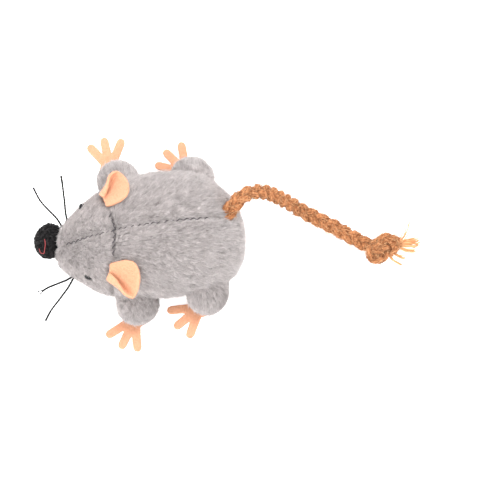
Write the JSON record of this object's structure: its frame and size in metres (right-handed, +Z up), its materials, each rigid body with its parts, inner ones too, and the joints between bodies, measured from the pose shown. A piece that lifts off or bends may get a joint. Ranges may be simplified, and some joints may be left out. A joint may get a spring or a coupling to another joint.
{
  "type": "plush mouse cat toy",
  "caption": "Small stuffed plush mouse with felt ears and paws, pompom nose, cord whiskers and a knotted braided rope tail.",
  "frame": {"origin": "middle of the flat belly face that the toy rests on", "axes": "+Z up, nose along -Y, tail along +Y, the mouse's left side along +X"},
  "size_m": [0.0995, 0.1716, 0.0453],
  "materials": {
    "plush": "short grey pile, matt",
    "felt": "pressed peach felt, matt",
    "stuffing": "white fibre fill",
    "black_wool": "fuzzy wool pompom",
    "black_bead": "polished bead",
    "black_cord": "waxed cord, slight sheen",
    "grey_thread": "sewing thread",
    "red_thread": "sewing thread",
    "jute": "coarse braided jute, dry"
  },
  "bodies": {
    "body": {"head_left": "plush", "head_right": "plush", "back_left": "plush", "back_right": "plush", "belly_panel": "plush", "body_stuffing": "stuffing", "back_seam_thread": "grey_thread", "neck_seam_thread": "grey_thread", "nose": "black_wool", "nose_stitch": "red_thread", "eye_left": "black_bead", "eye_right": "black_bead", "whisker_left_front": "black_cord", "whisker_left_rear": "black_cord", "whisker_right_front": "black_cord", "whisker_right_rear": "black_cord"},
    "leg_front_left": {"leg_front_left": "plush", "leg_stuffing_front_left": "stuffing", "paw_front_left": "felt"},
    "leg_front_right": {"leg_front_right": "plush", "leg_stuffing_front_right": "stuffing", "paw_front_right": "felt"},
    "leg_rear_left": {"leg_rear_left": "plush", "leg_stuffing_rear_left": "stuffing", "paw_rear_left": "felt"},
    "leg_rear_right": {"leg_rear_right": "plush", "leg_stuffing_rear_right": "stuffing", "paw_rear_right": "felt"},
    "ear_left": {"ear_left": "felt"},
    "ear_right": {"ear_right": "felt"},
    "tail": {"tail_rope": "jute", "tail_knot": "jute", "tail_fringe": "jute"}
  },
  "joints": [
    {"name": "swing_front_left", "type": "hinge", "parent": "body", "child": "leg_front_left", "pos_m": [0.0205, -0.0148, 0.0105], "axis": [0, 0, -1], "range_deg": [-12, 12], "stiffness_Nm_per_rad": 0.004},
    {"name": "swing_front_right", "type": "hinge", "parent": "body", "child": "leg_front_right", "pos_m": [-0.0205, -0.0166, 0.0105], "axis": [0, 0, 1], "range_deg": [-12, 12], "stiffness_Nm_per_rad": 0.004},
    {"name": "swing_rear_left", "type": "hinge", "parent": "body", "child": "leg_rear_left", "pos_m": [0.02, 0.0155, 0.0105], "axis": [0, 0, -1], "range_deg": [-12, 12], "stiffness_Nm_per_rad": 0.004},
    {"name": "swing_rear_right", "type": "hinge", "parent": "body", "child": "leg_rear_right", "pos_m": [-0.0195, 0.0144, 0.0105], "axis": [0, 0, 1], "range_deg": [-12, 12], "stiffness_Nm_per_rad": 0.004},
    {"name": "flop_ear_left", "type": "hinge", "parent": "body", "child": "ear_left", "pos_m": [0.0185, -0.0256, 0.03024], "axis": [0.8157, -0.1691, -0.5532], "range_deg": [-6, 20], "stiffness_Nm_per_rad": 0.0003},
    {"name": "flop_ear_right", "type": "hinge", "parent": "body", "child": "ear_right", "pos_m": [-0.01637, -0.0246, 0.03318], "axis": [0.8298, 0.2006, 0.5207], "range_deg": [-6, 20], "stiffness_Nm_per_rad": 0.0003},
    {"name": "swing_tail", "type": "hinge", "parent": "body", "child": "tail", "pos_m": [-0.0019, 0.0262, 0.033], "axis": [0, 0, 1], "range_deg": [-25, 25]}
  ]
}
